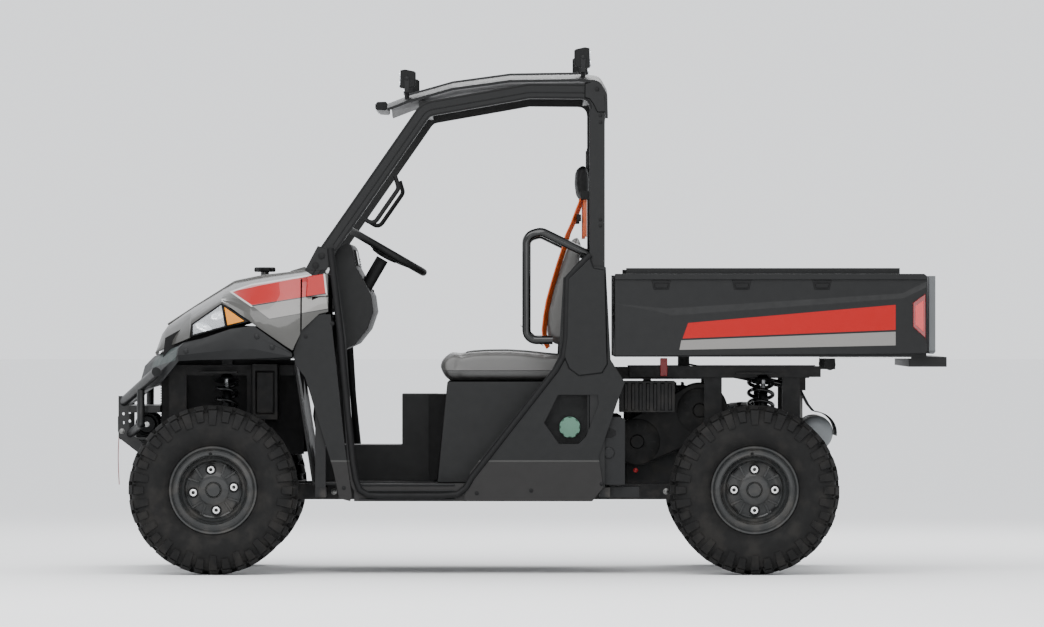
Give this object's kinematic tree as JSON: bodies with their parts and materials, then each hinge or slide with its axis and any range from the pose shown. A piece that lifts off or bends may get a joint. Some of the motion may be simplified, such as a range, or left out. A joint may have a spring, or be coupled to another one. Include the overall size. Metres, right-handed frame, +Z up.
{
  "type": "utility terrain vehicle",
  "caption": "Two-seat utility terrain vehicle with an open roofed cab, wide tyres, front winch bumper and a tipping cargo box with a folding tailgate.",
  "frame": {"origin": "on the ground, halfway along the vehicle, in its middle plane", "axes": "+X forwards, +Y to the vehicle's left, +Z up"},
  "size_m": [3.186, 1.588, 2.0089],
  "materials": {
    "frame_steel": "satin black powder coat",
    "cab_steel": "satin black powder coat",
    "moulded_plastic": "grained charcoal moulding",
    "hood_plastic": "warm grey moulding, satin",
    "grille_plastic": "grey mesh",
    "lamp_lens": "clear moulded lens",
    "tail_lens": "red moulded lens",
    "filler_cap": "green moulding",
    "vinyl": "grey grained vinyl",
    "vinyl_dark": "black grained vinyl",
    "webbing": "orange woven webbing",
    "tyre_rubber": "black rubber",
    "rim_steel": "satin dark grey",
    "cast_metal": "as cast",
    "bright_steel": "plain",
    "lever_plastic": "red moulding",
    "gate_metal": "silver grey"
  },
  "bodies": {
    "chassis": {"frame": "frame_steel", "front_tower": "frame_steel", "rear_tower": "frame_steel", "rack_housing": "cast_metal", "floor": "moulded_plastic", "front_fascia": "moulded_plastic", "grille": "grille_plastic", "headlights": "lamp_lens", "cowl_panels": "moulded_plastic", "quarter_panels": "moulded_plastic", "fuel_cap": "filler_cap", "dashboard": "moulded_plastic", "steering_column": "frame_steel", "seat_base": "moulded_plastic", "seat_cushions": "vinyl", "seat_backs": "vinyl", "headrests": "vinyl_dark", "seat_belts": "webbing", "hip_bars": "cab_steel", "cab_frame": "cab_steel", "roof": "moulded_plastic", "roof_lights": "moulded_plastic", "grab_handles": "moulded_plastic", "bumper": "frame_steel", "winch": "cast_metal", "suspension_arms": "frame_steel", "shock_absorbers": "frame_steel", "rear_hubs": "cast_metal", "engine": "cast_metal", "clutch_cover": "moulded_plastic", "driveline": "cast_metal", "exhaust": "bright_steel", "radiator": "cast_metal", "air_box": "moulded_plastic", "electrics_box": "moulded_plastic", "release_lever": "lever_plastic", "hood_corners": "hood_plastic"},
    "hood": {"hood": "hood_plastic"},
    "steering_knuckle_left": {"steering_knuckle_left": "cast_metal"},
    "steering_knuckle_right": {"steering_knuckle_right": "cast_metal"},
    "steering_wheel": {"steering_wheel": "vinyl_dark"},
    "tie_rods": {"tie_rods": "bright_steel"},
    "cargo_box": {"cargo_box": "moulded_plastic", "box_side_panels": "moulded_plastic", "tail_lights": "tail_lens"},
    "tailgate": {"tailgate": "gate_metal"},
    "lift_strut_tube": {"lift_strut_tube": "frame_steel"},
    "lift_strut_rod": {"lift_strut_rod": "bright_steel"},
    "wheel_front_left": {"tyre_front_left": "tyre_rubber", "rim_front_left": "rim_steel"},
    "wheel_front_right": {"tyre_front_right": "tyre_rubber", "rim_front_right": "rim_steel"},
    "wheel_rear_left": {"tyre_rear_left": "tyre_rubber", "rim_rear_left": "rim_steel"},
    "wheel_rear_right": {"tyre_rear_right": "tyre_rubber", "rim_rear_right": "rim_steel"}
  },
  "joints": [
    {"name": "steer_left", "type": "hinge", "parent": "chassis", "child": "steering_knuckle_left", "pos_m": [1.196, 0.6185, 0.322], "axis": [0, 0, 1], "range_deg": [-30, 30]},
    {"name": "steer_right", "type": "hinge", "parent": "chassis", "child": "steering_knuckle_right", "pos_m": [1.196, -0.6185, 0.322], "axis": [0, 0, 1], "range_deg": [-31, 31]},
    {"name": "steering_wheel_turn", "type": "hinge", "parent": "chassis", "child": "steering_wheel", "pos_m": [0.542, 0.33, 1.232], "axis": [-0.5, 0, 0.866], "range_deg": [-545, 545]},
    {"name": "rack_slide", "type": "slide", "parent": "chassis", "child": "tie_rods", "axis": [0, 1, 0], "range_m": [-0.045, 0.045]},
    {"name": "hood_tilt", "type": "hinge", "parent": "chassis", "child": "hood", "pos_m": [1.428, 0, 0.838], "axis": [0, 1, 0], "range_deg": [0, 55]},
    {"name": "box_tilt", "type": "hinge", "parent": "chassis", "child": "cargo_box", "pos_m": [-1.16, 0, 0.797], "axis": [0, -1, 0], "range_deg": [0, 45]},
    {"name": "tailgate_fold", "type": "hinge", "parent": "cargo_box", "child": "tailgate", "pos_m": [-1.536, 0, 0.852], "axis": [0, -1, 0], "range_deg": [0, 90]},
    {"name": "strut_swing", "type": "hinge", "parent": "chassis", "child": "lift_strut_tube", "pos_m": [-1.01, 0.2, 0.715], "axis": [0, -1, 0], "range_deg": [-0.5, 52.1]},
    {"name": "strut_extend", "type": "slide", "parent": "lift_strut_tube", "child": "lift_strut_rod", "axis": [0.9806, 0, 0.1961], "range_m": [-0.001, 0.1204]},
    {"name": "spin_front_left", "type": "hinge", "parent": "steering_knuckle_left", "child": "wheel_front_left", "pos_m": [1.196, 0.6765, 0.322], "axis": [0, 1, 0], "continuous": true},
    {"name": "spin_front_right", "type": "hinge", "parent": "steering_knuckle_right", "child": "wheel_front_right", "pos_m": [1.196, -0.6765, 0.322], "axis": [0, 1, 0], "continuous": true},
    {"name": "spin_rear_left", "type": "hinge", "parent": "chassis", "child": "wheel_rear_left", "pos_m": [-0.861, 0.6765, 0.322], "axis": [0, 1, 0], "continuous": true},
    {"name": "spin_rear_right", "type": "hinge", "parent": "chassis", "child": "wheel_rear_right", "pos_m": [-0.861, -0.6765, 0.322], "axis": [0, 1, 0], "continuous": true}
  ],
  "couplings": [
    {"joint": "steer_right", "follows": "steer_left", "ratio": 1},
    {"joint": "steering_wheel_turn", "follows": "steer_left", "ratio": 18},
    {"joint": "rack_slide", "follows": "steer_left", "m_per_rad": -0.08117},
    {"joint": "strut_swing", "follows": "box_tilt", "ratio": 1.1435},
    {"joint": "strut_extend", "follows": "box_tilt", "m_per_rad": 0.15208}
  ]
}
